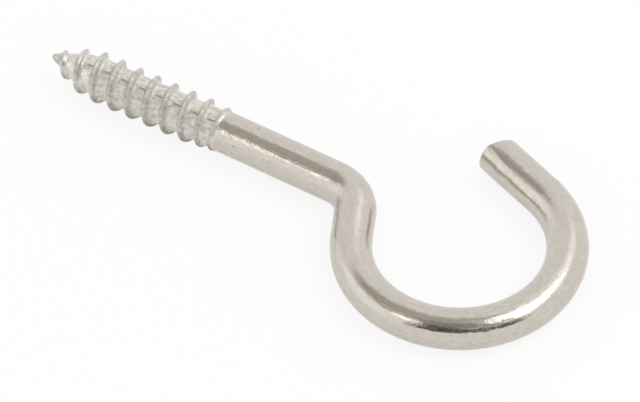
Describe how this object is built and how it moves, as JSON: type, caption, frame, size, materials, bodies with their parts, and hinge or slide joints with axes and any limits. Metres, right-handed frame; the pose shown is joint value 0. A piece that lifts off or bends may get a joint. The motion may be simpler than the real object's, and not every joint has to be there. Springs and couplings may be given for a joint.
{
  "type": "screw hook",
  "caption": "Plated steel screw hook: one bent wire with a coarse wood-screw thread, a gimlet point and an open round hook.",
  "frame": {"origin": "on the shank's axis where the thread ends and the plain shank begins, which is the face of the wood that the hook is driven into", "axes": "+X along the shank from the point towards the hook, +Y towards the side of the hook's mouth, +Z square to the plane of the bent wire, so the hook lies flat"},
  "size_m": [0.0713, 0.0318, 0.006],
  "materials": {
    "plated_steel": "bright nickel plating over drawn steel wire, with a soft satin gloss"
  },
  "bodies": {
    "root": {"screw_hook": "plated_steel"}
  },
  "joints": []
}
